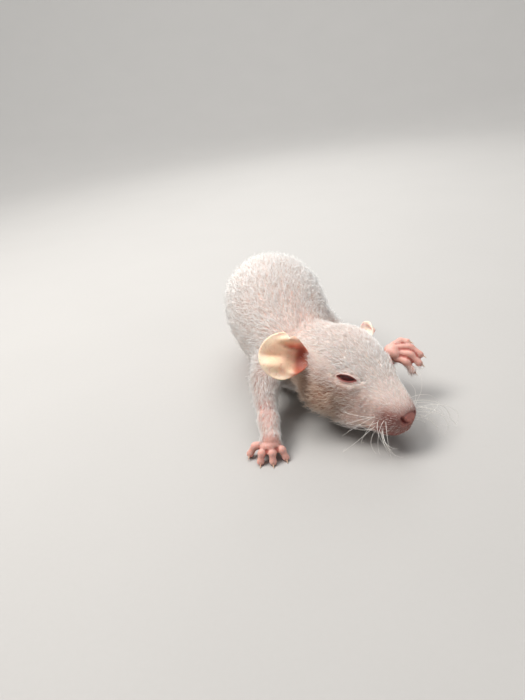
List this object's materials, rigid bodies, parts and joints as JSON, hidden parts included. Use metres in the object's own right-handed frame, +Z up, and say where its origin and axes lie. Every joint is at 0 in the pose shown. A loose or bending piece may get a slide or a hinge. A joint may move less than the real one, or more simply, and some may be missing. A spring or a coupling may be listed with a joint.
{
  "type": "young rex rat model",
  "caption": "Still life-size young rex rat with a sparse curly cream coat, crouching with its head turned and one forepaw held out.",
  "frame": {"origin": "on the floor, under the middle of the belly's flat", "axes": "+Y towards the tail and -Y towards the shoulders, +X towards the rat's left, +Z up; the head is turned to the left of -Y"},
  "size_m": [0.0606, 0.1415, 0.0365],
  "materials": {
    "coat": "short sparse curly cream fur over pink skin",
    "bare_skin": "soft pink bare skin with pale claws",
    "ear_skin": "thin peach-coloured bare skin",
    "eye": "wet, dark red"
  },
  "bodies": {
    "root": {"head": "coat", "muzzle": "coat", "lower_jaw": "coat", "neck": "coat", "torso": "coat", "foreleg_left": "coat", "foreleg_right": "coat", "hind_leg_left": "coat", "hind_leg_right": "coat", "forepaw_left": "bare_skin", "forepaw_right": "bare_skin", "hind_foot_left": "bare_skin", "hind_foot_right": "bare_skin", "tail_base": "bare_skin", "tail_middle": "bare_skin", "tail_tip": "bare_skin", "ear_left": "ear_skin", "ear_right": "ear_skin", "eye_left": "eye", "eye_right": "eye"}
  },
  "joints": []
}
